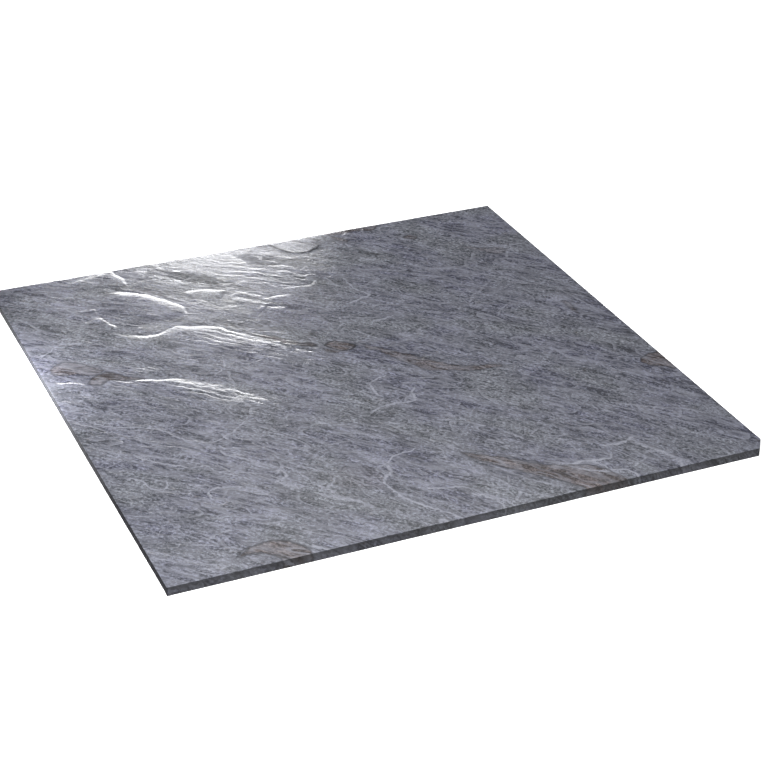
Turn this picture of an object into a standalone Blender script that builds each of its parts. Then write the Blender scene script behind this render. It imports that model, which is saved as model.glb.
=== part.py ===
"""A square riven stone slab that lies flat on a bench as a hard, heavy working surface.

One piece of natural stone: a sawn square with one broken corner, a flat underside, and a split upper
face on which thin cleavage plates stand a little above the general level. Metres, +Z up, with the
origin at the centre of the underside.
"""

import math

import bmesh
import bpy
from mathutils import Vector

MM = 0.001

# The whole slab.
SLAB_SIDE = 600 * MM
SLAB_THICKNESS = 10 * MM
GENERAL_LEVEL = 9.1 * MM
ARRIS_WIDTH = 0.5 * MM

# The corner at +X, -Y is broken off along one nearly upright face.
BROKEN_ALONG_RIGHT = 14 * MM
BROKEN_ALONG_FRONT = 10 * MM
BREAK_LEAN = math.radians(9)

# How far a cutting solid runs past the stone that it cuts.
CUTTER_MARGIN = 5 * MM
PLATE_ROOT_DEPTH = 1.5 * MM

HALF_SIDE = SLAB_SIDE / 2

STONE_COLOUR = (0.105, 0.110, 0.125, 1.0)
STONE_ROUGHNESS = 0.5
STONE_METALLIC = 0.0

# Each cleavage plate: its outline in millimetres, walked clockwise from the start of its broken ledge;
# the highest point of its ledge in millimetres, how high that is above the general level, the compass
# direction in which its face dips back into the slab (degrees from +X), and how far away it gets there.
# A plate with no run is level.
CLEAVAGE_PLATES = {
    "leaf_plate": {
        "outline": [
            (-187, 242), (-175, 246), (-160, 240), (-148, 230), (-137, 216), (-127, 201),
            (-121, 188), (-119, 168), (-128, 164), (-139, 164), (-158, 174), (-180, 188), (-200, 212),
        ],
        "crest": (-150, 205),
        "rise": 0.9,
        "dip": 0,
        "run": 0,
    },
    "long_ledge_plate": {
        "outline": [
            (-216, 157), (-203, 156), (-194, 148), (-180, 140), (-165, 137), (-152, 143), (-141, 146),
            (-127, 140), (-101, 129), (-82, 101), (-58, 72), (-28, 40), (-75, 22), (-150, 76),
        ],
        "crest": (-140, 146),
        "rise": 0.8,
        "dip": -130,
        "run": 85,
    },
    "west_ledge_plate": {
        "outline": [
            (-238, 61), (-220, 53), (-205, 49), (-190, 43), (-176, 39), (-150, 14), (-124, -14),
            (-98, -44), (-150, -52), (-205, -14),
        ],
        "crest": (-190, 43),
        "rise": 0.7,
        "dip": -125,
        "run": 70,
    },
    "back_edge_plate": {
        "outline": [(-167, 310), (-163, 288), (-159, 276), (-161, 260), (-182, 251), (-235, 268), (-262, 310)],
        "crest": (-160, 270),
        "rise": 0.7,
        "dip": 170,
        "run": 75,
    },
    "middle_back_plate": {
        "outline": [(-101, 219), (-82, 216), (-66, 206), (-61, 190), (-41, 166), (-20, 145), (-62, 152), (-96, 188)],
        "crest": (-66, 206),
        "rise": 0.5,
        "dip": -120,
        "run": 60,
    },
    "far_back_plate": {
        "outline": [(19, 310), (27, 281), (36, 269), (50, 263), (65, 267), (74, 279), (82, 310)],
        "crest": (50, 285),
        "rise": 0.35,
        "dip": 0,
        "run": 0,
    },
}


def clear_scene():
    for item in list(bpy.data.objects):
        bpy.data.objects.remove(item, do_unlink=True)


def new_collection(name):
    collection = bpy.data.collections.new(name)
    bpy.context.scene.collection.children.link(collection)
    return collection


def new_object(name, mesh_data, collection):
    """Turns a bmesh into an object with its faces pointing out."""
    bmesh.ops.recalc_face_normals(mesh_data, faces=mesh_data.faces[:])
    mesh = bpy.data.meshes.new(name)
    mesh_data.to_mesh(mesh)
    mesh_data.free()
    item = bpy.data.objects.new(name, mesh)
    collection.objects.link(item)
    return item


def make_cutter(item):
    item.hide_render = True
    item.display_type = "WIRE"


def box_mesh(size, centre):
    mesh_data = bmesh.new()
    bmesh.ops.create_cube(mesh_data, size=1.0)
    bmesh.ops.scale(mesh_data, vec=size, verts=mesh_data.verts[:])
    bmesh.ops.translate(mesh_data, vec=centre, verts=mesh_data.verts[:])
    return mesh_data


def cut_by_plane(mesh_data, point, normal):
    """Takes away what lies on the plane's outer side, and closes the cut."""
    found = bmesh.ops.bisect_plane(
        mesh_data,
        geom=mesh_data.verts[:] + mesh_data.edges[:] + mesh_data.faces[:],
        plane_co=point,
        plane_no=normal,
        clear_outer=True,
    )
    cut_edges = [part for part in found["geom_cut"] if isinstance(part, bmesh.types.BMEdge)]
    bmesh.ops.contextual_create(mesh_data, geom=cut_edges)


def slab_blank(collection):
    """The sawn square with its broken corner and its worn lower and upright edges."""
    mesh_data = box_mesh((SLAB_SIDE, SLAB_SIDE, SLAB_THICKNESS), (0, 0, SLAB_THICKNESS / 2))
    break_start = Vector((HALF_SIDE, -HALF_SIDE + BROKEN_ALONG_RIGHT, GENERAL_LEVEL))
    along_break = Vector((-BROKEN_ALONG_FRONT, -BROKEN_ALONG_RIGHT, 0)).normalized()
    outward = Vector((-along_break.y, along_break.x, 0))
    break_normal = outward * math.cos(BREAK_LEAN) + Vector((0, 0, math.sin(BREAK_LEAN)))
    cut_by_plane(mesh_data, break_start, break_normal)
    worn = [edge for edge in mesh_data.edges if min(vert.co.z for vert in edge.verts) < SLAB_THICKNESS / 2]
    bmesh.ops.bevel(mesh_data, geom=worn, offset=ARRIS_WIDTH, segments=1, affect="EDGES")
    return new_object("stone_slab", mesh_data, collection)


def cleavage_plate(name, plate, collection):
    """A thin prism on the plate's outline, with its upper face dipping back to the general level."""
    mesh_data = bmesh.new()
    floor_height = GENERAL_LEVEL - PLATE_ROOT_DEPTH
    corners = [mesh_data.verts.new((x * MM, y * MM, floor_height)) for x, y in plate["outline"]]
    footprint = mesh_data.faces.new(corners)
    raised = bmesh.ops.extrude_face_region(mesh_data, geom=[footprint])
    lifted = [part for part in raised["geom"] if isinstance(part, bmesh.types.BMVert)]
    prism_height = PLATE_ROOT_DEPTH + (SLAB_THICKNESS - GENERAL_LEVEL) + CUTTER_MARGIN
    bmesh.ops.translate(mesh_data, vec=(0, 0, prism_height), verts=lifted)
    crest = Vector((plate["crest"][0] * MM, plate["crest"][1] * MM, GENERAL_LEVEL + plate["rise"] * MM))
    slope = plate["rise"] / plate["run"] if plate["run"] else 0
    dip = math.radians(plate["dip"])
    face_normal = Vector((slope * math.cos(dip), slope * math.sin(dip), 1)).normalized()
    cut_by_plane(mesh_data, crest, face_normal)
    item = new_object(name, mesh_data, collection)
    make_cutter(item)
    return item


def add_boolean(item, name, operation, other):
    modifier = item.modifiers.new(name, "BOOLEAN")
    modifier.operation = operation
    modifier.solver = "EXACT"
    modifier.object = other


def split_waste(collection):
    """The stone that was split away above the general level, all of it but the plates."""
    waste_height = (SLAB_THICKNESS - GENERAL_LEVEL) + CUTTER_MARGIN
    waste_side = SLAB_SIDE + 2 * CUTTER_MARGIN
    mesh_data = box_mesh((waste_side, waste_side, waste_height), (0, 0, GENERAL_LEVEL + waste_height / 2))
    item = new_object("split_waste", mesh_data, collection)
    make_cutter(item)
    for name, plate in CLEAVAGE_PLATES.items():
        add_boolean(item, name, "DIFFERENCE", cleavage_plate(name, plate, collection))
    return item


def stone_material():
    material = bpy.data.materials.new("riven_stone")
    material.use_nodes = True
    shader = material.node_tree.nodes["Principled BSDF"]
    shader.inputs["Base Color"].default_value = STONE_COLOUR
    shader.inputs["Roughness"].default_value = STONE_ROUGHNESS
    shader.inputs["Metallic"].default_value = STONE_METALLIC
    material.diffuse_color = STONE_COLOUR
    return material


def main():
    clear_scene()
    slab_collection = new_collection("riven_stone_slab")
    cutter_collection = new_collection("cutters")
    slab = slab_blank(slab_collection)
    slab.data.materials.append(stone_material())
    add_boolean(slab, "split_face", "DIFFERENCE", split_waste(cutter_collection))


main()
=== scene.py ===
"""The looks of the riven stone slab: its split face, its sides, its stone, the light and the camera.

Everything is worked out in millimetres on the slab's plan, with x to the right along the front edge and
y from the front edge to the back edge, and turned into metres when the mesh is made.
"""

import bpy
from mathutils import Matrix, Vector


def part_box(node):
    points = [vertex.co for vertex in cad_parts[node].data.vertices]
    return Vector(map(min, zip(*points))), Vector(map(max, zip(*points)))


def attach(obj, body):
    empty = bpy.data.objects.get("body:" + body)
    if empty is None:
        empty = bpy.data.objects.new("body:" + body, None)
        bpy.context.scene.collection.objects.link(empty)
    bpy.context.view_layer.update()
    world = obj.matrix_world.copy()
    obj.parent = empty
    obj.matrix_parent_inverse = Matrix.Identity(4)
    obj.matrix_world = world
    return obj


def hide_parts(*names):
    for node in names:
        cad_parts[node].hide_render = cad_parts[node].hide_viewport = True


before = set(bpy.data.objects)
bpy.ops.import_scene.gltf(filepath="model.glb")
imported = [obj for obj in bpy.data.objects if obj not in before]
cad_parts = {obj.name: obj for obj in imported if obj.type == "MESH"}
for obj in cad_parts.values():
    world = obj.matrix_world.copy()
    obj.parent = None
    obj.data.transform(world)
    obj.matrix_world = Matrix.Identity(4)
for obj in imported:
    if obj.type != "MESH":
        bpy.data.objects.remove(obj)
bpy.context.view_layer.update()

import math

import bpy
import numpy as np
from mathutils import Matrix, Vector

MM = 0.001
SLAB_LOW, SLAB_HIGH = (np.array(corner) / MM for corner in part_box("stone_slab"))
HALF = (SLAB_HIGH[0] - SLAB_LOW[0]) / 2
TOP = SLAB_HIGH[2]
GENERAL_LEVEL = TOP - 0.9

# The broken corner, as it is cut in the solid.
BROKEN_ALONG_RIGHT = 14.0
BROKEN_ALONG_FRONT = 10.0

# The mesh: its finest places start at the rim, and its cells are smaller where the stone is most broken.
RIM_PLACES = (0.0, 0.4, 1.1, 2.2)
FINE_CELL = 1.0
COARSE_CELL = 1.9
BROKEN_WIDTH = (-245, 60)
BROKEN_DEPTH = (-10, 300)
SIDE_ROWS = 9
UNDERSIDE_STRIDE = 8
SIDE_SLOPE = 0.35
SHARP_ANGLE = math.radians(38)

# Painted shade on the left side: where it darkens, from its first to its last place, and by what share.
LEFT_PAINTED_SHADE = (40.0, -220.0)
PAINTED_SHADE_SHARE = 0.5

# The grain of the stone runs from the back left to the front right, and bends a little on its way.
GRAIN_ANGLE = math.radians(-46)
GRAIN_BEND = -0.00035


# ------------ Noise and curves ------------

def fade(t):
    """Perlin's easing curve: level at 0 and at 1."""
    return t * t * t * (t * (t * 6 - 15) + 10)


def smooth_step(low, high, value):
    """0 at low, 1 at high, and smooth between them. Low may be the larger."""
    t = np.clip((value - low) / (high - low), 0, 1)
    return t * t * (3 - 2 * t)


def gradient_noise(x, y, seed):
    """Smooth noise of about -1 to 1 that changes over one unit of x and y."""
    rng = np.random.default_rng(seed)
    order = rng.permutation(256)
    angles = rng.uniform(0, 2 * math.pi, 256)
    slopes = np.stack([np.cos(angles), np.sin(angles)], -1)
    column, row = np.floor(x).astype(int), np.floor(y).astype(int)
    u, v = x - column, y - row

    def corner(dx, dy):
        pick = order[(order[(column + dx) & 255] + row + dy) & 255]
        return slopes[pick, 0] * (u - dx) + slopes[pick, 1] * (v - dy)

    fu, fv = fade(u), fade(v)
    low = corner(0, 0) * (1 - fu) + corner(1, 0) * fu
    high = corner(0, 1) * (1 - fu) + corner(1, 1) * fu
    return 1.5 * (low * (1 - fv) + high * fv)


def layered_noise(x, y, seed, layers=4, falloff=0.5):
    """Layers of noise, each twice as fine as the one before."""
    total = np.zeros_like(x, float)
    strength = 1.0
    for layer in range(layers):
        total += strength * gradient_noise(x * 2**layer, y * 2**layer, seed + layer)
        strength *= falloff
    return total


def wandered(x, y, amount, scale, seed):
    """The places moved about a little, so that drawn lines come out uneven."""
    return (
        x + amount * layered_noise(x / scale, y / scale, seed, 3),
        y + amount * layered_noise(x / scale, y / scale, seed + 10, 3),
    )


def grain_coordinates(x, y):
    """(along, across) the grain, in millimetres. Across grows towards the back right."""
    along = x * math.cos(GRAIN_ANGLE) + y * math.sin(GRAIN_ANGLE)
    across = -x * math.sin(GRAIN_ANGLE) + y * math.cos(GRAIN_ANGLE)
    return along, across - GRAIN_BEND * along**2 / 2


def smooth_curve(points, per_span=6):
    """A Catmull-Rom curve through the points."""
    p = np.array([points[0], *points, points[-1]], float)
    t = np.linspace(0, 1, per_span, endpoint=False)[:, None]
    spans = [
        0.5 * (2 * b + (c - a) * t + (2 * a - 5 * b + 4 * c - d) * t**2 + (3 * b - a - 3 * c + d) * t**3)
        for a, b, c, d in zip(p, p[1:], p[2:], p[3:])
    ]
    return np.vstack([*spans, p[-1:]])


def near_curve(x, y, points, reach):
    """For each place within reach of the curve: its index, its distance from it, which side it is on
    (1 on the left), and how far along the curve it is, from 0 to 1."""
    line = smooth_curve(points)
    low, high = line.min(0) - reach, line.max(0) + reach
    inside = np.flatnonzero((x > low[0]) & (x < high[0]) & (y > low[1]) & (y < high[1]))
    px, py = x[inside], y[inside]
    lengths = np.hypot(*np.diff(line, axis=0).T)
    starts = np.concatenate([[0], np.cumsum(lengths)])
    best = np.full(len(inside), np.inf)
    side = np.ones(len(inside))
    where = np.zeros(len(inside))
    for a, b, length, start in zip(line, line[1:], lengths, starts):
        if length == 0:
            continue
        dx, dy = (b - a) / length
        s = np.clip((px - a[0]) * dx + (py - a[1]) * dy, 0, length)
        gap = np.hypot(px - a[0] - s * dx, py - a[1] - s * dy)
        closer = gap < best
        best[closer] = gap[closer]
        where[closer] = ((start + s) / starts[-1])[closer]
        side[closer] = np.where(dx * (py - a[1]) - dy * (px - a[0]) > 0, 1, -1)[closer]
    keep = best < reach
    return inside[keep], best[keep], side[keep], where[keep]


def inside_outline(x, y, points):
    """Signed distance to a closed outline, in millimetres, positive inside."""
    ring = smooth_curve([*points, points[0]], 5)
    inside = np.zeros(len(x), bool)
    gap = np.full(len(x), np.inf)
    for (ax, ay), (bx, by) in zip(ring, ring[1:]):
        crosses = (ay > y) != (by > y)
        if ay != by:
            inside ^= crosses & (x < (bx - ax) * (y - ay) / (by - ay) + ax)
        length2 = (bx - ax) ** 2 + (by - ay) ** 2
        if length2 > 0:
            s = np.clip(((x - ax) * (bx - ax) + (y - ay) * (by - ay)) / length2, 0, 1)
            gap = np.minimum(gap, np.hypot(x - ax - s * (bx - ax), y - ay - s * (by - ay)))
    return np.where(inside, gap, -gap)


def tapered(where, start=0.12, end=0.2):
    """1 along a curve, and falling to 0 at its two ends."""
    return smooth_step(0, start, where) * smooth_step(0, end, 1 - where)


# ------------ The split face ------------

# Broken ledges: the rise, the shoulder at the first, middle and last point, the step, the run, and the
# rim's line. The stone on the left of the line, walked in order, stands higher. It rounds off towards the
# rim over the shoulder, falls the rise there and the small clean step at the rim. Behind the shoulder it
# sinks back to the general level over the run.
LEDGES = [
    # The leaf-shaped plate's rim.
    (1.35, (5, 13, 9), 0.12, 40, [(-119, 166), (-120, 178), (-121, 190), (-128, 202), (-137, 216),
     (-148, 230), (-160, 239), (-173, 246), (-186, 252)]),
    # A low line inside the leaf.
    (0.16, (3, 3, 3), 0.05, 12, [(-136, 164), (-146, 173), (-157, 184), (-157, 198)]),
    # The long ledge under the leaf, which frays into parallel ridges on its way down to the right.
    (1.15, (5, 12, 5), 0.1, 42, [(-28, 36), (-58, 72), (-82, 101), (-101, 129), (-127, 140), (-141, 147),
     (-152, 143), (-165, 137), (-180, 140), (-194, 148), (-203, 156), (-216, 157)]),
    # The next long ledge, nearer the left edge.
    (0.75, (6, 5, 3), 0.1, 34, [(-98, -44), (-124, -14), (-150, 14), (-176, 39), (-190, 43), (-205, 49),
     (-220, 53), (-239, 61)]),
    # The ledge that runs out over the back edge.
    (0.62, (3.2, 4, 5), 0.1, 40, [(-161, 256), (-159, 272), (-163, 288), (-167, 304)]),
    # Short broken arcs near the left edge.
    (0.55, (2.4, 3, 2.4), 0.1, 16, [(-197, 166), (-203, 178), (-206, 190), (-211, 200)]),
    (0.3, (1.8, 1.8, 1.8), 0.1, 8, [(-209, 203), (-209, 209), (-207, 215)]),
    (0.36, (2.4, 2.4, 2.4), 0.08, 10, [(-234, 140), (-234, 149), (-237, 158)]),
    (0.95, (5, 5, 5), 0.08, 16, [(-262, 62), (-274, 71), (-283, 74), (-293, 80)]),
    (0.85, (4.5, 4.5, 4.5), 0.08, 12, [(-285, 34), (-291, 38), (-298, 40)]),
    # The group of plates at the middle of the back.
    (0.62, (3, 5, 6), 0.1, 22, [(-64, 205), (-72, 210), (-84, 216), (-102, 220), (-114, 218)]),
    (0.42, (2.6, 3.5, 3), 0.08, 14, [(-62, 166), (-76, 169), (-85, 173), (-92, 184), (-95, 196)]),
    (0.75, (6, 8, 6), 0.06, 22, [(-30, 158), (-38, 166), (-50, 178), (-62, 190)]),
    (0.45, (3, 4, 3), 0.08, 16, [(-17, 143), (-24, 147), (-36, 153), (-46, 158)]),
    (0.48, (3, 4, 3), 0.08, 14, [(-4, 171), (-18, 173), (-29, 172), (-36, 182), (-46, 192), (-58, 206)]),
    (0.22, (2, 2, 2), 0.06, 14, [(36, 194), (30, 187), (24, 183), (8, 187), (-9, 186)]),
    (0.12, (2, 2, 2), 0.05, 18, [(46, 128), (62, 131), (74, 136), (76, 140), (67, 158), (66, 188),
     (52, 198)]),
    # By the back edge.
    (-0.3, (3, 3, 3), -0.14, 26, [(74, 278), (65, 268), (50, 263), (36, 268), (27, 281), (19, 303)]),
    (0.2, (4, 4, 4), 0.05, 14, [(-118, 266), (-126, 278), (-136, 286), (-146, 287)]),
    (0.18, (4, 4, 4), 0.05, 14, [(-96, 248), (-112, 252), (-130, 262), (-146, 262), (-158, 252)]),
    (0.42, (3, 3, 3), 0.08, 16, [(146, 285), (131, 284), (122, 290), (112, 293), (104, 281)]),
    (0.24, (3, 3, 3), 0.04, 14, [(127, 213), (135, 229), (148, 241), (154, 258)]),
    (0.2, (2.5, 2.5, 2.5), 0.04, 12, [(140, 178), (128, 174), (113, 165)]),
    # Low ledges in the front half.
    (-0.12, (1.8, 1.8, 1.8), -0.1, 12, [(-2, -73), (-4, -60), (-1, -43), (10, -37), (24, -33)]),
    (-0.1, (1.8, 1.8, 1.8), -0.08, 14, [(-26, -99), (-14, -92), (4, -89), (18, -92), (27, -88),
     (30, -74)]),
    (0.12, (1.8, 1.8, 1.8), 0.08, 12, [(-6, -171), (-18, -177), (-34, -179), (-48, -190)]),
    (0.16, (1.8, 1.8, 1.8), 0.1, 14, [(90, -247), (108, -257), (122, -256), (138, -260), (148, -260),
     (153, -252)]),
    (0.12, (2, 2, 2), 0.08, 14, [(150, -239), (166, -241), (180, -240), (192, -256), (200, -270),
     (204, -290)]),
    (0.12, (1.8, 1.8, 1.8), 0.08, 10, [(52, 78), (66, 79), (80, 82)]),
    (-0.12, (1.8, 1.8, 1.8), -0.1, 12, [(-232, -281), (-222, -274), (-206, -268), (-190, -268)]),
]

# How deep the stone dips at the foot of a ledge, as a share of the ledge's rise.
FOOT_SHARE = 0.25

# Half the width over which a ledge's clean step falls.
STEP_HALF = 0.9

# Bands of fine parallel ridges: half the band's width, the distance between ridges, their height, and the
# band's middle line.
RIDGE_BANDS = [
    (26, 8.5, 0.5, [(-132, 134), (-104, 104), (-78, 76), (-50, 48), (-22, 22), (2, -2)]),
    (23, 8.0, 0.48, [(-196, 38), (-165, 12), (-138, -16), (-112, -44), (-86, -72)]),
    (20, 8.0, 0.2, [(-86, -72), (-58, -100), (-30, -128), (0, -158)]),
    (20, 8.0, 0.2, [(0, -160), (30, -186), (66, -214), (100, -240), (124, -252)]),
    (34, 12.0, 0.2, [(-60, 262), (-20, 236), (16, 208), (46, 186)]),
    (16, 7.0, 0.22, [(-250, 60), (-225, 42), (-205, 20)]),
    (11, 6.0, 0.14, [(-298, -52), (-266, -84), (-232, -112)]),
    (10, 6.0, 0.16, [(205, -172), (236, -192), (262, -210), (284, -228)]),
    (16, 7.0, 0.16, [(-238, 100), (-212, 74), (-186, 50)]),
    (26, 11.0, 0.2, [(-128, 292), (-104, 262), (-78, 236)]),
]

# Where in its length a ridge is highest.
RIDGE_PEAK = 0.36

# Places where the cleavage broke up into small rough steps, whose colour is darkened as painted shade of
# the
# steps: middle, half length along the grain, half width across it, and how broken they are.
BROKEN_PATCHES = [
    ((-5, 263), 26, 11, 1.0),
    ((30, 240), 42, 11, 0.8),
    ((-88, 248), 46, 14, 1.0),
    ((-134, 232), 44, 7, 0.8),
    ((-75, 122), 36, 7, 0.9),
    ((-84, 172), 34, 7, 0.6),
    ((-138, 300), 22, 9, 0.8),
    ((-160, 149), 20, 6, 0.5),
    ((-46, 204), 24, 5, 0.7),
    ((-36, 166), 24, 4, 0.5),
]

# How the lines of the relief wander: how far, over what distance, and the seed.
RELIEF_WANDER = (1.3, 13, 11)


def ledge_heights(x, y):
    total = np.zeros(len(x))
    for rise, shoulders, clean_step, run, rim in LEDGES:
        index, gap, side, where = near_curve(x, y, rim, 3 * run)
        behind = np.maximum(gap * side, 0)
        shoulder = np.interp(where, (0.0, 0.5, 1.0), shoulders)
        rounded = rise * (1 - np.exp(-behind / shoulder))
        step = clean_step * smooth_step(-STEP_HALF, STEP_HALF, gap * side)
        foot = -FOOT_SHARE * rise * np.exp(-gap / shoulder)
        back = np.exp(-behind / run) * smooth_step(3 * run, run, gap)
        total[index] += (rounded + step + foot) * tapered(where) * back
    return total


def sawtooth(u):
    """A ridge that rises over the first third of its length and falls away slowly."""
    t = u - np.floor(u)
    return smooth_step(0, RIDGE_PEAK, t) - smooth_step(RIDGE_PEAK, 1.0, t)


def ridge_phases(x, y):
    """For each place: how many ridges it is across its band, and how high the ridges stand there."""
    phase = np.zeros(len(x))
    height = np.zeros(len(x))
    for number, (half, spacing, band_height, middle) in enumerate(RIDGE_BANDS):
        index, gap, side, where = near_curve(x, y, middle, half)
        bx, by = x[index], y[index]
        wander = 0.42 * layered_noise(bx / 22, by / 22, 310 + number, 3)
        strength = np.clip(0.8 + 0.7 * gradient_noise(bx / 20, by / 20, 350 + number), 0.2, 1.4)
        window = (1 - (gap / half) ** 2) * tapered(where, 0.2, 0.3)
        here = band_height * window * strength
        higher = here > height[index]
        phase[index[higher]] = (-gap * side / spacing + wander)[higher]
        height[index[higher]] = here[higher]
    return phase, height


def ridge_heights(x, y):
    phase, height = ridge_phases(x, y)
    return height * sawtooth(phase)


def broken_share(x, y):
    """How broken up each place is, from 0 to 1."""
    along, across = grain_coordinates(x, y)
    uneven = 1.1 * layered_noise(along / 20, across / 8, 420, 4, 0.6)
    share = np.zeros(len(x))
    for middle, long, wide, strength in BROKEN_PATCHES:
        middle_along, middle_across = grain_coordinates(*middle)
        spread = ((along - middle_along) / long) ** 2 + ((across - middle_across) / wide) ** 2
        share = np.maximum(share, strength * smooth_step(1.15, 0.75, spread + uneven))
    return share


def broken_heights(x, y):
    """The small rough steps of the broken patches."""
    along, across = grain_coordinates(x, y)
    rough = np.abs(layered_noise(along / 7, across / 4.5, 400, 3)) - 0.45
    return 0.5 * broken_share(x, y) * rough


def lamina_steps(x, y):
    """The low irregular steps that the split leaves all over, drawn out along the grain."""
    along, across = grain_coordinates(x, y)
    field = 3.4 * layered_noise(along / 150, across / 62, 510, 4, 0.52)
    level = field - np.floor(field)
    return 0.09 * (smooth_step(0.0, 0.9, level) - smooth_step(0.9, 1.0, level))


def split_face(x, y):
    """The height of the split face over the underside, in millimetres, at most the slab's height."""
    moved = wandered(x, y, *RELIEF_WANDER)
    along, across = grain_coordinates(x, y)
    swell = 0.13 * layered_noise(along / 160, across / 75, 31, 2)
    fine = 0.02 * layered_noise(along / 14, across / 4.5, 41, 2)
    height = swell + fine + lamina_steps(*moved)
    height += ledge_heights(*moved) + ridge_heights(*moved) + broken_heights(x, y)
    bend = 0.15
    straight = TOP - GENERAL_LEVEL - bend
    over = np.maximum(height - straight, 0)
    height = np.minimum(height, straight) + bend * (1 - np.exp(-over / bend))
    return GENERAL_LEVEL + height
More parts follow.
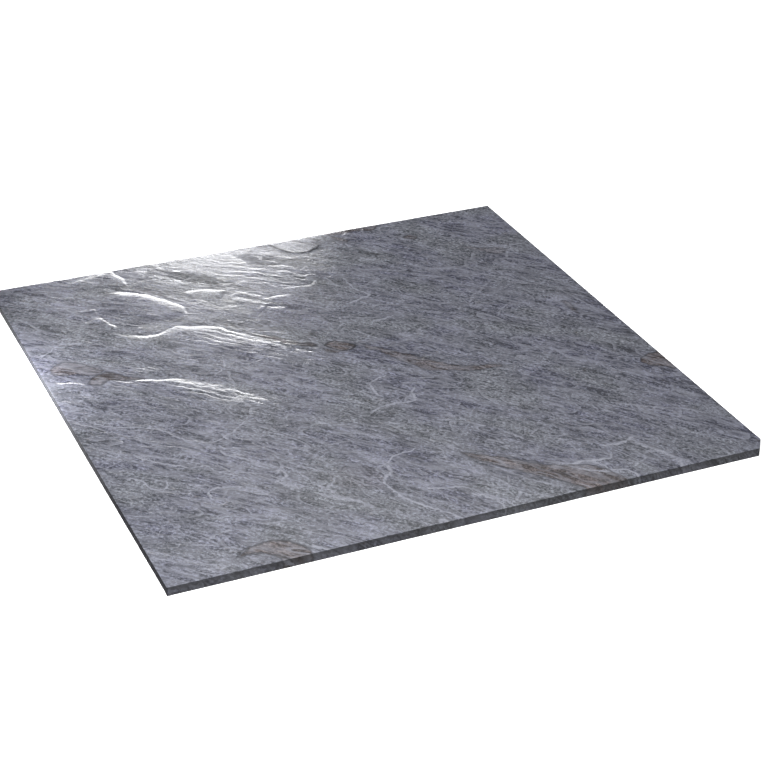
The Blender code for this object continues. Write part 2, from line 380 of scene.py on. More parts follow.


# ------------ Veins, cracks, painted highlights and shadows, and inclusions ---

# Pale veins: half the width, how pale the vein is, and its line. The veins drawn along the small ledges
# also paint the highlight on those ledges.
VEINS_AND_LEDGE_HIGHLIGHTS = [
    (1.2, 0.6, [(66, 190), (66, 168), (68, 154), (76, 139), (72, 135), (56, 130), (46, 126)]),
    (1.0, 0.35, [(-178, 98), (-196, 90), (-197, 78), (-190, 66), (-176, 60)]),
    (1.0, 0.5, [(-120, 62), (-124, 48), (-128, 40), (-140, 32)]),
    (1.0, 0.55, [(-137, -60), (-150, -72), (-168, -84), (-186, -90), (-208, -76), (-222, -52), (-240, -38),
     (-262, -28), (-285, -8)]),
    (1.2, 0.5, [(-298, -50), (-284, -66), (-266, -82), (-246, -94), (-228, -106), (-206, -126),
     (-198, -142), (-184, -156), (-170, -172)]),
    (1.2, 0.6, [(-262, -86), (-246, -104), (-232, -116), (-220, -126)]),
    (1.1, 0.45, [(-214, -106), (-196, -126), (-186, -146), (-164, -160), (-152, -172), (-146, -184),
     (-138, -200)]),
    (1.1, 0.5, [(-184, -103), (-180, -118), (-160, -138), (-146, -154), (-134, -162), (-124, -190)]),
    (1.1, 0.5, [(-141, -130), (-132, -152), (-118, -168), (-104, -182), (-92, -184)]),
    (1.4, 0.6, [(-150, -168), (-144, -162), (-142, -174), (-152, -178), (-150, -186), (-138, -198)]),
    (1.0, 0.6, [(-218, -184), (-218, -172), (-210, -168), (-196, -172), (-184, -176)]),
    (1.0, 0.6, [(-282, -120), (-268, -130), (-264, -146), (-252, -152), (-248, -142), (-248, -134)]),
    (1.2, 0.65, [(-6, -171), (-18, -177), (-34, -179), (-48, -190), (-50, -204), (-62, -214), (-62, -232),
     (-58, -248), (-46, -268), (-32, -286), (-24, -300), (-20, -312)]),
    (1.0, 0.5, [(-48, -190), (-62, -194), (-58, -206), (-62, -218)]),
    (1.3, 0.7, [(-36, -240), (-18, -248), (-2, -252), (10, -266), (20, -282), (26, -290), (30, -302),
     (33, -314)]),
    (1.2, 0.7, [(0, -264), (14, -278), (20, -292), (19, -312)]),
    (1.0, 0.5, [(44, -278), (40, -288), (28, -294)]),
    (1.3, 0.6, [(104, -254), (114, -266), (126, -276), (140, -284), (146, -296), (150, -310)]),
    (1.2, 0.65, [(126, -258), (136, -268), (140, -280), (152, -284), (158, -294), (158, -312)]),
    (1.6, 0.7, [(90, -247), (108, -257), (122, -256), (138, -260), (150, -260), (154, -250)]),
    (2.0, 0.65, [(152, -238), (168, -241), (184, -238), (188, -232)]),
    (2.4, 0.6, [(182, -242), (192, -256), (200, -270), (206, -286), (206, -302), (208, -314)]),
    (1.3, 0.5, [(162, -268), (170, -277), (178, -276), (184, -266), (194, -266)]),
    (1.6, 0.5, [(206, -284), (214, -292), (216, -304), (220, -314)]),
    (1.1, 0.5, [(202, -170), (222, -184), (240, -196), (258, -204), (270, -216), (284, -228)]),
    (1.0, 0.35, [(240, -270), (250, -280), (257, -286), (258, -312)]),
    (1.4, 0.6, [(-26, -99), (-14, -92), (4, -89), (18, -92), (27, -88), (30, -74), (40, -66)]),
    (1.2, 0.65, [(-2, -73), (-4, -60), (-1, -43), (10, -37), (24, -33)]),
    (3.2, 0.45, [(-96, 6), (-84, 6), (-76, 0), (-72, -14), (-60, -28), (-46, -40)]),
    (1.2, 0.6, [(52, 78), (66, 79), (80, 82)]),
    (1.0, 0.4, [(28, 84), (40, 88), (48, 82)]),
    (1.2, 0.45, [(168, 78), (178, 92), (186, 96), (198, 106), (208, 114)]),
    (1.0, 0.5, [(182, 38), (190, 48), (200, 58)]),
    (1.2, 0.35, [(96, 92), (108, 98), (120, 86), (132, 76)]),
    (1.8, 0.4, [(208, 140), (222, 128), (234, 114), (244, 102), (258, 86)]),
    (1.2, 0.45, [(272, 80), (276, 64), (280, 46), (284, 26), (292, 8)]),
    (1.3, 0.45, [(230, 216), (240, 204), (256, 194), (276, 192), (292, 190)]),
    (1.6, 0.4, [(256, 164), (262, 174), (268, 184)]),
    (1.2, 0.35, [(262, 236), (258, 246), (262, 262), (266, 284), (268, 298)]),
    (1.1, 0.3, [(162, 218), (160, 228), (168, 234), (184, 236), (202, 240), (206, 252)]),
    (1.0, 0.35, [(-100, -122), (-108, -136), (-106, -150), (-96, -162)]),
    (1.0, 0.45, [(-90, -137), (-76, -138), (-64, -138)]),
    (1.6, 0.7, [(-196, -300), (-188, -306), (-182, -314)]),
    (1.4, 0.6, [(-164, -286), (-156, -296), (-148, -304), (-136, -316)]),
    (1.2, 0.45, [(-166, -266), (-156, -270), (-144, -278), (-132, -288), (-128, -298)]),
    (1.2, 0.5, [(-300, -238), (-288, -250), (-276, -262), (-262, -276), (-250, -284), (-236, -290)]),
    (1.0, 0.5, [(-100, -246), (-92, -252), (-90, -262)]),
    (1.0, 0.5, [(-124, -192), (-116, -206), (-104, -196), (-98, -192)]),
    (1.6, 0.5, [(-122, -200), (-114, -214), (-108, -228), (-100, -238)]),
    (1.0, 0.4, [(-250, 284), (-244, 266), (-236, 254), (-226, 240), (-214, 228), (-200, 222)]),
    (0.9, 0.35, [(-212, 302), (-206, 284), (-196, 274), (-184, 270)]),
    (1.0, 0.4, [(-204, 292), (-196, 280), (-186, 270), (-178, 258)]),
    (1.2, 0.5, [(-292, 136), (-280, 141), (-270, 151), (-256, 152), (-242, 146)]),
    (1.4, 0.45, [(-266, 120), (-258, 110), (-248, 98), (-240, 86)]),
    (1.0, 0.45, [(-232, 152), (-224, 140), (-212, 122), (-206, 114)]),
    (1.2, 0.5, [(-208, 148), (-198, 142), (-198, 130), (-196, 120)]),
    (1.0, 0.4, [(-174, 122), (-178, 112), (-178, 104), (-168, 94)]),
    (0.9, 0.35, [(-290, 242), (-270, 226), (-252, 206), (-240, 196), (-228, 180)]),
    (1.2, 0.5, [(-246, -244), (-234, -241), (-220, -237)]),
    (1.9, 0.55, [(-126, -214), (-114, -226), (-104, -232), (-94, -244), (-90, -256)]),
    (1.3, 0.45, [(-300, -250), (-288, -260), (-276, -272), (-264, -284), (-250, -290), (-236, -288)]),
    (0.9, 0.4, [(-1, -168), (6, -178), (9, -190), (6, -206)]),
    (1.2, 0.5, [(4, -212), (9, -218), (13, -224)]),
    (2.6, 0.32, [(19, -209), (27, -222), (34, -235)]),
    (1.0, 0.4, [(47, -250), (42, -264), (31, -279)]),
    (1.3, 0.5, [(78, -178), (84, -186), (91, -198)]),
    (1.3, 0.45, [(58, -185), (64, -192), (71, -200)]),
    (1.7, 0.45, [(56, -260), (70, -274), (86, -290)]),
    (1.1, 0.45, [(98, -193), (106, -190), (114, -186)]),
    (2.2, 0.65, [(-45, -302), (-41, -295), (-38, -302)]),
    (1.0, 0.5, [(-62, -177), (-56, -184), (-48, -191)]),
    (1.1, 0.4, [(-298, -104), (-292, -114), (-296, -124), (-288, -132)]),
]

# Dark cracks and the painted shadows of steps and slopes that face away from the light, in the same form.
# How dark they are is below 0.
CRACKS_AND_PAINTED_SHADOWS = [
    (1.5, -0.85, [(19, 303), (23, 290), (28, 280), (35, 270), (44, 265), (52, 263), (62, 266), (70, 270),
     (74, 279)]),
    (2.2, -0.8, [(62, 304), (70, 294), (78, 286)]),
    (2.2, -0.85, [(-65, 237), (-58, 232), (-47, 231)]),
    (1.8, -0.85, [(-46, 237), (-40, 236), (-34, 237)]),
    (1.5, -0.6, [(-39, 277), (-30, 270), (-22, 261)]),
    (1.3, -0.55, [(-38, 261), (-29, 256)]),
    (1.7, -0.6, [(-120, 286), (-104, 270), (-90, 258), (-76, 246), (-66, 237)]),
    (1.8, -0.5, [(-61, 223), (-50, 212), (-42, 203), (-33, 195)]),
    (1.6, -0.6, [(-62, 204), (-52, 192), (-42, 178), (-32, 162), (-22, 152), (-12, 145)]),
    (0.8, -0.5, [(-63, 214), (-64, 200), (-67, 186), (-68, 176)]),
    (1.6, -0.45, [(-102, 206), (-96, 190), (-88, 174), (-80, 160)]),
    (1.4, -0.65, [(-88, 132), (-80, 114), (-73, 100), (-66, 90), (-56, 80)]),
    (2.2, -0.4, [(-157, 254), (-149, 243), (-138, 229), (-127, 213), (-118, 199)]),
    (1.3, -0.6, [(-162, 173), (-150, 164), (-140, 158), (-130, 161), (-118, 167)]),
    (1.8, -0.35, [(-186, 147), (-176, 144), (-164, 141), (-150, 148)]),
    (1.2, -0.45, [(-214, 247), (-204, 240), (-198, 232)]),
    (1.0, -0.4, [(-243, 261), (-232, 251), (-216, 246)]),
    (1.6, -0.4, [(-228, 146), (-218, 134), (-209, 118)]),
    (2.4, -0.5, [(-176, 252), (-168, 256), (-158, 260)]),
    (1.4, -0.8, [(81, 16), (85, 14)]),
    (1.4, -0.7, [(10, -10), (14, -12)]),
    (1.3, -0.8, [(195, 1), (199, -1)]),
    (1.0, -0.5, [(-264, -154), (-250, -167), (-238, -180), (-232, -190), (-228, -202), (-221, -213)]),
    (1.8, -0.4, [(-160, -180), (-150, -195), (-142, -206), (-132, -218), (-124, -232), (-114, -239)]),
    (1.5, -0.4, [(-177, -176), (-170, -178), (-163, -181)]),
    (1.4, -0.5, [(-37, -123), (-27, -128), (-20, -140), (-16, -151), (-13, -160), (-3, -169)]),
    (0.9, -0.5, [(-98, -186), (-91, -183), (-83, -178)]),
    (1.1, -0.65, [(-231, -284), (-228, -277), (-222, -272), (-210, -269)]),
    (1.3, -0.65, [(-222, -281), (-212, -281), (-203, -285), (-195, -293), (-187, -304), (-183, -314)]),
    (0.9, -0.5, [(-230, -283), (-227, -290), (-225, -297)]),
    (1.8, -0.45, [(-292, -266), (-282, -271), (-272, -277), (-265, -285)]),
    (1.0, -0.5, [(-216, -226), (-215, -232), (-214, -238)]),
    (1.3, -0.5, [(22, -185), (40, -202), (60, -218), (76, -235), (96, -250), (110, -259)]),
    (2.0, -0.45, [(86, -258), (94, -266), (100, -276)]),
]

# Brown inclusions: how strong the brown is, and the closed outline.
INCLUSIONS = [
    (1.0, [(-72, 98), (-56, 88), (-38, 66), (-22, 56), (-24, 50), (-42, 62), (-58, 76)]),
    (1.0, [(-14, 48), (-2, 54), (8, 46), (17, 36), (4, 29), (-6, 36)]),
    (0.5, [(-18, 40), (-10, 38), (-4, 30), (-14, 31)]),
    (0.55, [(24, 36), (34, 26), (46, 12), (58, 0), (74, -20), (92, -40), (112, -50), (136, -56),
     (132, -62), (104, -58), (82, -48), (64, -42), (56, -28), (46, -10), (38, 4), (34, 16), (24, 26)]),
    (0.7, [(24, -196), (36, -206), (56, -220), (74, -236), (92, -250), (110, -258), (128, -266),
     (140, -284), (148, -300), (152, -318), (104, -318), (102, -298), (86, -276), (66, -256), (46, -232),
     (30, -212)]),
    (0.75, [(-230, -282), (-220, -273), (-204, -268), (-186, -270), (-174, -280), (-168, -296),
     (-170, -318), (-190, -318), (-196, -296), (-206, -284), (-216, -279)]),
    (0.55, [(-290, 104), (-274, 116), (-262, 112), (-248, 96), (-240, 84), (-252, 78), (-268, 86),
     (-286, 92)]),
    (0.7, [(-262, 62), (-250, 76), (-236, 78), (-220, 62), (-206, 52), (-222, 55), (-240, 62),
     (-250, 57)]),
    (0.5, [(262, 44), (268, 40), (268, 22), (264, 10), (262, 26)]),
    (0.35, [(222, 212), (234, 202), (244, 194), (262, 192), (264, 180), (250, 176), (238, 190),
     (226, 202)]),
    (0.7, [(272, -108), (278, -100), (290, -96), (304, -98), (304, -132), (288, -126), (278, -118)]),
    (0.6, [(80, 304), (92, 296), (104, 292), (128, 292), (146, 288), (150, 304)]),
    (0.5, [(170, 256), (180, 260), (186, 252), (178, 248)]),
    (0.5, [(92, 290), (104, 280), (106, 268), (98, 274)]),
    (0.22, [(-104, -184), (-84, -178), (-62, -191), (-60, -206), (-66, -228), (-82, -222), (-106, -206)]),
]

# Plates that split clean and smooth, and so shine more.
SMOOTH_PLATES = [
    [(-118, 304), (-60, 262), (-44, 242), (-24, 262), (-14, 304)],
    [(-58, 236), (-28, 246), (0, 240), (34, 216), (58, 200), (30, 188), (-6, 190), (-34, 204)],
    [(-186, 243), (-160, 240), (-137, 216), (-121, 190), (-119, 168), (-138, 166), (-156, 186),
     (-160, 214)],
    [(-60, 190), (-40, 165), (-24, 148), (-44, 150), (-62, 168)],
    [(4, 296), (24, 262), (60, 256), (84, 262), (90, 240), (44, 250), (10, 266)],
    [(-60, 70), (-30, 40), (-10, 22), (-44, 30), (-74, 62)],
]

# How far a vein reaches, in half widths; how much wider every vein is drawn; and how far from its outline
# an inclusion is measured, in millimetres.
VEIN_REACH = 3.0
VEIN_SPREAD = 1.2
INCLUSION_REACH = 8.0


def gloss_mask(x, y):
    """1 on the smooth plates and 0 off them."""
    x, y = wandered(x, y, 2.5, 16, 151)
    mask = np.zeros(len(x))
    for outline in SMOOTH_PLATES:
        mask = np.maximum(mask, smooth_step(-3, 5, inside_outline(x, y, outline)))
    return mask


def drawn_line_distances(x, y):
    """For each place: the signed distance to the nearest drawn line (veins, cracks, painted ledge
    highlights and painted step shadows) in units of its half width, and its strength, which is 0 out of
    its reach."""
    x, y = wandered(x, y, 1.5, 7, 61)
    distance = np.full(len(x), VEIN_REACH)
    strength = np.zeros(len(x))
    for drawn_half, drawn_line_strength, line in VEINS_AND_LEDGE_HIGHLIGHTS + CRACKS_AND_PAINTED_SHADOWS:
        half = VEIN_SPREAD * drawn_half
        index, gap, side, where = near_curve(x, y, line, VEIN_REACH * half)
        gap = gap / half
        nearer = gap < np.abs(distance[index]) + 1e-9
        index, gap, side, where = index[nearer], gap[nearer], side[nearer], where[nearer]
        distance[index] = gap * side
        fading = tapered(where, 0.06, 0.06) * smooth_step(VEIN_REACH, 0.6 * VEIN_REACH, gap)
        strength[index] = drawn_line_strength * fading
    return distance, strength


def inclusion_distances(x, y):
    """The signed distance into the nearest inclusion, and how strong it is."""
    x, y = wandered(x, y, 1.8, 10, 91)
    distance = np.full(len(x), -INCLUSION_REACH)
    strength = np.zeros(len(x))
    for patch_strength, outline in INCLUSIONS:
        signed = inside_outline(x, y, outline)
        nearer = signed > distance
        distance = np.where(nearer, signed, distance)
        strength = np.where(nearer, patch_strength, strength)
    return np.clip(distance, -INCLUSION_REACH, INCLUSION_REACH), strength


# ------------ The slab's mesh ------------

# The zones of the faces: 0 to 3 are the sides, from the front one anticlockwise.
SIDES_OUT = ((0.0, -1.0), (1.0, 0.0), (0.0, 1.0), (-1.0, 0.0))
SPLIT_FACE = 4
UNDERSIDE = 5


def grid_lines(dense_low, dense_high):
    """Where the grid's lines cross a side, from -1 to 1: closer together between the two places given in
    millimetres, where the stone is most broken, and in the outermost cells."""
    width = 2 * HALF
    *outer, rim = RIM_PLACES
    inner = [rim]
    while inner[-1] < width - 3.4:
        dense = dense_low < inner[-1] - HALF < dense_high
        inner.append(inner[-1] + (FINE_CELL if dense else COARSE_CELL))
    inner = np.array(inner)
    inner = rim + (inner - inner[0]) * (width - 2 * rim) / (inner[-1] - inner[0])
    places = np.concatenate([outer, inner, width - np.array(outer[::-1])])
    return places / HALF - 1


def side_wander(along, seed):
    """How far the worn side stands back from the true line, in millimetres."""
    small = np.abs(layered_noise(along / 5, along * 0 + seed, seed, 2))
    long = np.abs(layered_noise(along / 60, along * 0 + seed, seed + 5, 2))
    return 0.10 * small + 0.12 * long


def plan_places(across_lines, deep_lines):
    """x and y of each point of the grid, drawn in where the slab's outline is."""
    u, v = np.meshgrid(across_lines, deep_lines)
    along_x, along_y = across_lines * HALF, deep_lines * HALF
    right = HALF - side_wander(along_y, 3)
    past_break = np.clip((-HALF + BROKEN_ALONG_RIGHT - along_y) / BROKEN_ALONG_RIGHT, 0, 1)
    right = np.minimum(right, HALF - past_break * BROKEN_ALONG_FRONT)
    left = -HALF + side_wander(along_y, 4)
    back = HALF - side_wander(along_x, 5)
    front = -HALF + side_wander(along_x, 6)
    x = left[:, None] * (1 - u) / 2 + right[:, None] * (1 + u) / 2
    y = front[None, :] * (1 - v) / 2 + back[None, :] * (1 + v) / 2
    return x, y


def rim_of(grid):
    """The grid's outermost points, walked anticlockwise from the front left corner."""
    return np.concatenate([grid[0, :-1], grid[:-1, -1], grid[-1, :0:-1], grid[:0:-1, 0]])


def quads_of(grid):
    corners = [grid[:-1, :-1], grid[:-1, 1:], grid[1:, 1:], grid[1:, :-1]]
    return np.stack(corners, -1).reshape(-1, 4).tolist()


def top_points(across_lines, deep_lines):
    """The split face's points, with the chips and the wear along its rim."""
    x, y = (values.ravel() for values in plan_places(across_lines, deep_lines))
    edge_gap = np.minimum(HALF - np.abs(x), HALF - np.abs(y))
    chips = np.abs(layered_noise(x / 5, y / 5, 131, 3))
    wear = 0.16 + 0.2 * chips + 1.4 * np.maximum(chips - 0.55, 0)
    return np.stack([x, y, split_face(x, y) - wear * smooth_step(1.6, 0.0, edge_gap)], 1)


def side_row(rim_points, out, row):
    """One row of points down the sides, and their places in the stone's pattern, folded out flat."""
    x, y, rim_z = rim_points.T
    z = (rim_z - SIDE_SLOPE) * (1 - row / SIDE_ROWS)
    depth = TOP - z
    ridge = 0.22 * np.abs(layered_noise((x + y + depth) / 3.2, (x - y) / 60, 141, 2))
    inset = ridge * (1 if row > 1 else 0.4) + (SIDE_SLOPE if row == SIDE_ROWS else 0)
    points = np.stack([x - out[:, 0] * inset, y - out[:, 1] * inset, z], 1)
    return points, rim_points[:, :2] + out * depth[:, None]


def build_slab_mesh():
    """Returns (points in mm, faces, plan coordinates for the stone's pattern, each face's zone)."""
    across_lines, deep_lines = grid_lines(*BROKEN_WIDTH), grid_lines(*BROKEN_DEPTH)
    columns, rows = len(across_lines), len(deep_lines)
    top = top_points(across_lines, deep_lines)
    grid = np.arange(rows * columns).reshape(rows, columns)
    rim = rim_of(grid)
    turns = np.cumsum([0, columns - 1, rows - 1, columns - 1, rows - 1])
    side = np.searchsorted(turns, np.arange(len(rim)), side="right") - 1
    out = np.array(SIDES_OUT)[side]
    points, plan = [top], [top[:, :2]]
    faces = quads_of(grid)
    split_faces = len(faces)
    ring = rim
    for row in range(1, SIDE_ROWS + 1):
        row_points, row_plan = side_row(top[rim], out, row)
        below = len(top) + (row - 1) * len(rim) + np.arange(len(rim))
        points.append(row_points)
        plan.append(row_plan)
        faces += np.stack([ring, below, np.roll(below, -1), np.roll(ring, -1)], 1).tolist()
        ring = below
    points, plan = np.vstack(points), np.vstack(plan)
    points, faces, plan = close_underside(points, faces, plan, ring, columns - 1, rows - 1)
    zones = np.full(len(faces), UNDERSIDE)
    zones[:split_faces] = SPLIT_FACE
    zones[split_faces:split_faces + SIDE_ROWS * len(rim)] = np.tile(side, SIDE_ROWS)
    return points, faces, plan, zones


def close_underside(points, faces, plan, ring, column_cells, row_cells):
    """A coarse flat underside whose outermost cells take in the fine points of the rim."""
    first = len(points)
    stops_x = stops_of(points[ring[:column_cells + 1], 0], column_cells)
    side_y = points[np.take(ring, range(column_cells, column_cells + row_cells + 1), mode="wrap"), 1]
    stops_y = stops_of(side_y, row_cells)
    cx, cy = np.meshgrid(points_at(stops_x), points_at(stops_y))
    inner = np.stack([cx.ravel(), cy.ravel(), np.zeros(cx.size)], 1)
    grid = first + np.arange(cx.size).reshape(cx.shape)
    faces += [face[::-1] for face in quads_of(grid)]
    inner_ring = rim_of(grid)
    ticks = []
    start = 0
    walks = ((stops_x, column_cells), (stops_y, row_cells), (stops_x[::-1], column_cells),
             (stops_y[::-1], row_cells))
    for stops, cells in walks:
        numbers = [stop[0] for stop in stops]
        ticks.append([start + (n if numbers[0] < numbers[-1] else cells - n) for n in numbers])
        start += cells
    size, inner_size, seen = len(ring), len(inner_ring), 0
    for side in range(4):
        before = ticks[side - 1][-1] - (size if side == 0 else 0)
        after = ticks[side][0]
        corner = [ring[k % size] for k in range(before, after + 1)]
        faces.append([*corner[::-1], inner_ring[seen % inner_size]])
        for low, high in zip(ticks[side], ticks[side][1:]):
            fine = [ring[k % size] for k in range(low, high + 1)]
            faces.append([*fine[::-1], inner_ring[seen % inner_size], inner_ring[(seen + 1) % inner_size]])
            seen += 1
    points = np.vstack([points, inner])
    plan = np.vstack([plan, inner[:, :2] * [1, -1] + [0, -2 * HALF - 2 * TOP]])
    return points, faces, plan


def stops_of(places, cells):
    """Every few points along a side: (number of the point, its place)."""
    numbers = range(UNDERSIDE_STRIDE, cells - UNDERSIDE_STRIDE // 2, UNDERSIDE_STRIDE)
    return [(number, places[number]) for number in numbers]


def points_at(stops):
    return np.array([place for _, place in stops])


def set_attribute(mesh, name, values):
    """Gives every point of the mesh a number, or a vector where there are three values each."""
    kind, key = ("FLOAT", "value") if values.ndim == 1 else ("FLOAT_VECTOR", "vector")
    attribute = mesh.attributes.new(name, kind, "POINT")
    attribute.data.foreach_set(key, np.asarray(values, np.float32).ravel())


# The bake map: its margin, how much of it the split face takes, and where the rest starts.
MAP_MARGIN = 0.004
MAP_FACE = 0.80
MAP_REST = 0.815
MAP_UNDERSIDE = 0.18
MAP_STRIP = 0.046
MAP_SIDE = 0.040


def add_bake_map(mesh, points, zones):
    """A map for baking: the split face large, the underside squeezed in beside it, the sides as strips."""
    corners = np.empty(len(mesh.loops), np.int32)
    mesh.loops.foreach_get("vertex_index", corners)
    sizes = np.empty(len(mesh.polygons), np.int32)
    mesh.polygons.foreach_get("loop_total", sizes)
    zone = np.repeat(zones, sizes)
    x, y, z = points[corners].T
    across, deep = (x + HALF) / (2 * HALF), (y + HALF) / (2 * HALF)
    u, v = MAP_MARGIN + MAP_FACE * across, MAP_MARGIN + MAP_FACE * deep
    under = zone == UNDERSIDE
    u[under] = MAP_REST + MAP_UNDERSIDE * across[under]
    for side, along in enumerate((across, deep, 1 - across, 1 - deep)):
        here = zone == side
        u[here] = MAP_MARGIN + (1 - 2 * MAP_MARGIN) * along[here]
        v[here] = MAP_REST + MAP_STRIP * side + MAP_SIDE * z[here] / TOP
    layer = mesh.uv_layers.new(name="OFBake")
    layer.data.foreach_set("uv", np.stack([u, v], 1).astype(np.float32).ravel())


def set_stone_attributes(mesh, points, plan):
    """What the materials read at each point of the mesh."""
    x, y = plan.T.copy()
    along, across = grain_coordinates(x, y)
    drawn_line_gap, drawn_line_strength = drawn_line_distances(x, y)
    inclusion_gap, inclusion_strength = inclusion_distances(x, y)
    phase, height = ridge_phases(*wandered(x, y, *RELIEF_WANDER))
    # Painted shade on the front part of the left side.
    shaded_left_front = smooth_step(*LEFT_PAINTED_SHADE, y) * (x < 1 - HALF)
    values = {
        "grain": np.stack([along, across, 0 * along], 1),
        "drawn_line_gap": drawn_line_gap,
        "drawn_line_strength": drawn_line_strength,
        "inclusion_gap": inclusion_gap,
        "inclusion_strength": inclusion_strength,
        "level": points[:, 2] / TOP,
        "side_painted_shade": 1 - PAINTED_SHADE_SHARE * shaded_left_front,
        "gloss": gloss_mask(x, y),
        "broken": broken_share(x, y),
        "ridge_phase": phase,
        "ridge_height": height,
    }
    for name, each in values.items():
        set_attribute(mesh, name, each)


def make_slab():
    points, faces, plan, zones = build_slab_mesh()
    mesh = bpy.data.meshes.new("slab_stone")
    mesh.from_pydata((points * MM).tolist(), [], faces)
    mesh.polygons.foreach_set("material_index", (zones != SPLIT_FACE).astype(np.int32))
    add_bake_map(mesh, points, zones)
    mesh.shade_smooth()
    mesh.set_sharp_from_angle(angle=SHARP_ANGLE)
    set_stone_attributes(mesh, points, plan)
    slab = bpy.data.objects.new("slab_stone", mesh)
    bpy.context.scene.collection.objects.link(slab)
    return slab


# ------------ Materials ------------

class Nodes:
    """Short ways to add nodes to a material."""

    def __init__(self, name):
        self.material = bpy.data.materials.new(name)
        self.material.use_nodes = True
        self.tree = self.material.node_tree
        self.shader = self.tree.nodes["Principled BSDF"]

    def link(self, value, socket):
        """Wires a node's output to the socket, or sets the socket to a plain value."""
        if isinstance(value, bpy.types.NodeSocket):
            self.tree.links.new(value, socket)
        elif value is not None:
            socket.default_value = value

    def attribute(self, name, output):
        node = self.tree.nodes.new("ShaderNodeAttribute")
        node.attribute_name = name
        return node.outputs[output]

    def math(self, operation, *values):
        node = self.tree.nodes.new("ShaderNodeMath")
        node.operation = operation
        for value, socket in zip(values, node.inputs):
            self.link(value, socket)
        return node.outputs[0]

    def vector_math(self, operation, *values):
        node = self.tree.nodes.new("ShaderNodeVectorMath")
        node.operation = operation
        for value, socket in zip(values, node.inputs):
            self.link(value, socket)
        return node.outputs[0]

    def chained(self, operation, values):
        first, *rest = values
        for value in rest:
            first = self.math(operation, first, value)
        return first

    def product(self, *values):
        return self.chained("MULTIPLY", values)

    def largest(self, *values):
        return self.chained("MAXIMUM", values)

    def total(self, *values):
        return self.chained("ADD", values)

    def from_middle(self, value):
        """How far a noise is from its middle value."""
        return self.math("SUBTRACT", value, 0.5)

    def noise(self, vector, size, offset, detail, roughness=0.55, distortion=0.0, output="Fac"):
        """Noise whose marks are about so many millimetres long and wide."""
        node = self.tree.nodes.new("ShaderNodeTexNoise")
        factors = (1 / size[0], 1 / size[1], 1)
        self.link(self.vector_math("MULTIPLY_ADD", vector, factors, offset), node.inputs["Vector"])
        node.inputs["Scale"].default_value = 1.0
        node.inputs["Detail"].default_value = detail
        node.inputs["Roughness"].default_value = roughness
        node.inputs["Distortion"].default_value = distortion
        return node.outputs[output]

    def remap(self, value, low, high, to_low=0.0, to_high=1.0):
        """A smooth change from to_low at low to to_high at high."""
        node = self.tree.nodes.new("ShaderNodeMapRange")
        node.interpolation_type = "SMOOTHSTEP"
        self.link(value, node.inputs["Value"])
        node.inputs["From Min"].default_value = low
        node.inputs["From Max"].default_value = high
        node.inputs["To Min"].default_value = to_low
        node.inputs["To Max"].default_value = to_high
        return node.outputs["Result"]

    def mix(self, factor, a, b):
        node = self.tree.nodes.new("ShaderNodeMix")
        node.data_type = "RGBA"
        self.link(factor, node.inputs["Factor"])
        for value, name in ((a, "A"), (b, "B")):
            socket = next(s for s in node.inputs if s.name == name and s.type == "RGBA")
            self.link(value, socket)
        return next(s for s in node.outputs if s.type == "RGBA")

    def times(self, colour, factor):
        """A colour made lighter or darker by a number."""
        node = self.tree.nodes.new("ShaderNodeVectorMath")
        node.operation = "SCALE"
        self.link(colour, node.inputs[0])
        self.link(factor, node.inputs["Scale"])
        return node.outputs[0]


SLATE_VIOLET = (0.108, 0.111, 0.150, 1)
SLATE_OLIVE = (0.116, 0.122, 0.140, 1)
# Pale of the veins, also the painted highlight along small ledges.
VEIN_AND_HIGHLIGHT_PALE = (0.33, 0.34, 0.40, 1)
RUST_SPECK = (0.140, 0.122, 0.112, 1)
# Dark of the cracks, also the painted shadow of steps.
CRACK_AND_SHADOW_DARK = (0.030, 0.030, 0.036, 1)
INCLUSION_BROWN = (0.089, 0.076, 0.078, 1)
# How far the sides' colour is darkened as painted shade.
SIDE_PAINTED_SHADE = 0.21
DULL_SPECULAR = 0.25


def lamina_edges(n, coordinates, levels, offset, size):
    """Levels of a noise, like the contour lines of thin broken layers: (how near the upper side of an
    edge, how near the lower side, where the stone takes the painted shadow of the step, the height within
    the layer)."""
    field = n.noise(coordinates, size, offset, 1.5, 0.45)
    level = n.math("FRACT", n.product(field, levels))
    return n.remap(level, 0.26, 0.04), n.remap(level, 0.76, 0.97), level


def thread(n, coordinates, size, offset, width):
    """Thin wavy lines drawn out along the grain."""
    field = n.noise(coordinates, size, offset, 2, 0.5)
    return n.remap(n.math("ABSOLUTE", n.from_middle(field)), width, 0.0)


def drawn_line_marks(n, wobble):
    """(how pale, how dark) each spot is made by the drawn veins with their painted ledge highlights, and
    by the cracks with their painted step shadows.
    """
    gap = n.math("ABSOLUTE", n.total(n.attribute("drawn_line_gap", "Fac"), wobble))
    near = n.remap(gap, 1.3, 0.4)
    strength = n.attribute("drawn_line_strength", "Fac")
    pale = n.product(near, n.largest(strength, 0.0), 1.25)
    dark = n.product(near, n.largest(n.product(strength, -1.0), 0.0))
    return pale, dark


def inclusion_marks(n, wobble):
    """(how brown, how dark) the inclusions and their outlines make each spot."""
    gap = n.total(n.attribute("inclusion_gap", "Fac"), wobble)
    strength = n.attribute("inclusion_strength", "Fac")
    brown = n.remap(n.product(n.remap(gap, -0.4, 1.0), strength), 0.0, 0.75)
    outline = n.remap(n.math("ABSOLUTE", n.math("SUBTRACT", gap, 0.2)), 2.2, 0.5)
    return brown, n.product(outline, strength, 0.85)


